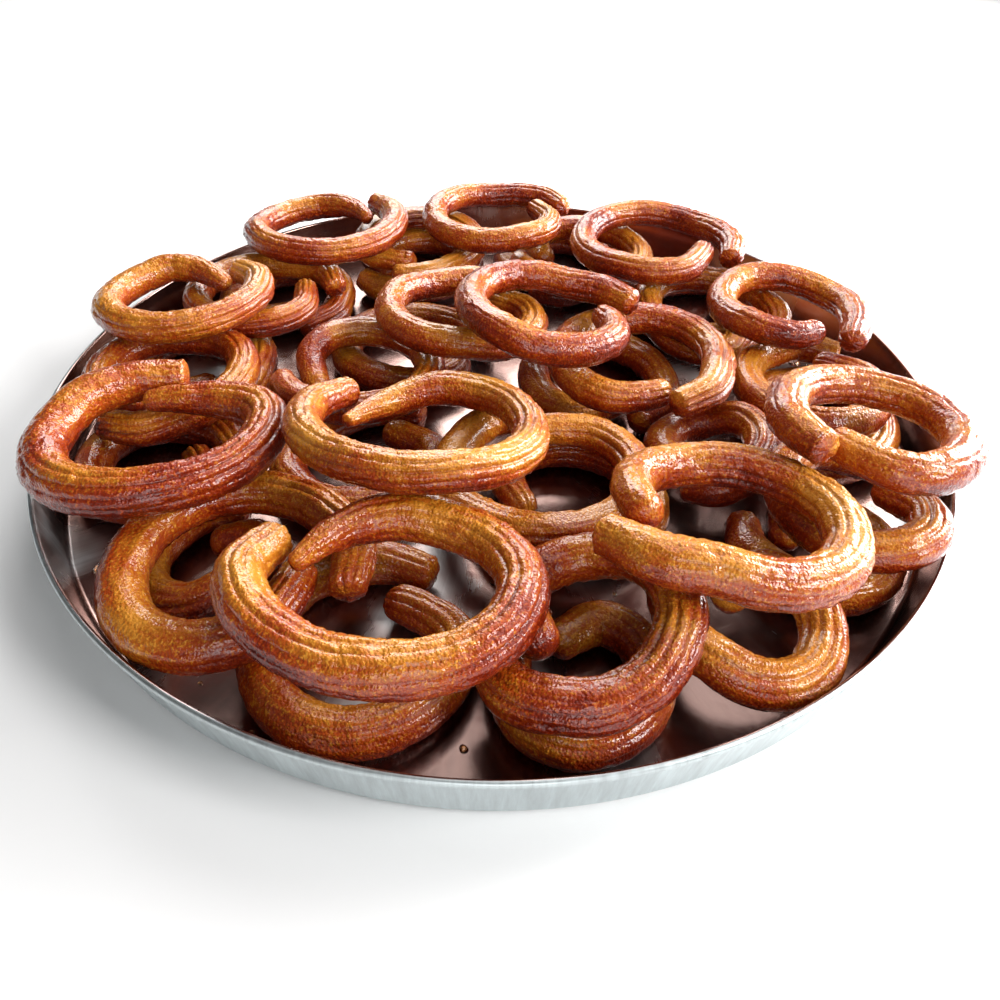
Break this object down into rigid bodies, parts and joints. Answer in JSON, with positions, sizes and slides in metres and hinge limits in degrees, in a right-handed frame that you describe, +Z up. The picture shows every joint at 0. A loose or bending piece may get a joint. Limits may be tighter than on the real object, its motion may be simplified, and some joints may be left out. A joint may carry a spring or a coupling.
{
  "type": "tray of syrup-soaked dough rings",
  "caption": "Round metal baker's tray heaped with star-piped dough rings, deep-fried and soaked in syrup.",
  "frame": {"origin": "middle of the tray's underside, on the surface that it stands on", "axes": "+Z up, +X to the right and +Y away from somebody standing in front of the tray"},
  "size_m": [0.52, 0.52, 0.0894],
  "materials": {
    "syrup_dough": "fried golden brown, wet with clear syrup",
    "aluminium": "plain rolled and spun sheet, lightly brushed"
  },
  "bodies": {
    "root": {"tray": "aluminium", "ring_floor_01": "syrup_dough", "ring_floor_02": "syrup_dough", "ring_floor_03": "syrup_dough", "ring_floor_04": "syrup_dough", "ring_floor_05": "syrup_dough", "ring_floor_06": "syrup_dough", "ring_floor_07": "syrup_dough", "ring_floor_08": "syrup_dough", "ring_floor_09": "syrup_dough", "ring_floor_10": "syrup_dough", "ring_floor_11": "syrup_dough", "ring_floor_12": "syrup_dough", "ring_floor_13": "syrup_dough", "ring_floor_14": "syrup_dough", "ring_floor_15": "syrup_dough", "ring_floor_16": "syrup_dough", "ring_floor_17": "syrup_dough", "ring_middle_01": "syrup_dough", "ring_middle_02": "syrup_dough", "ring_middle_03": "syrup_dough", "ring_middle_04": "syrup_dough", "ring_middle_05": "syrup_dough", "ring_middle_06": "syrup_dough", "ring_middle_07": "syrup_dough", "ring_middle_08": "syrup_dough", "ring_middle_09": "syrup_dough", "ring_middle_10": "syrup_dough", "ring_middle_11": "syrup_dough", "ring_top_01": "syrup_dough", "ring_top_02": "syrup_dough", "ring_top_03": "syrup_dough", "ring_top_04": "syrup_dough", "ring_top_05": "syrup_dough", "ring_top_06": "syrup_dough", "ring_top_07": "syrup_dough", "ring_top_08": "syrup_dough", "ring_top_09": "syrup_dough", "ring_top_10": "syrup_dough", "ring_top_11": "syrup_dough", "ring_top_12": "syrup_dough", "ring_top_13": "syrup_dough"}
  },
  "joints": []
}
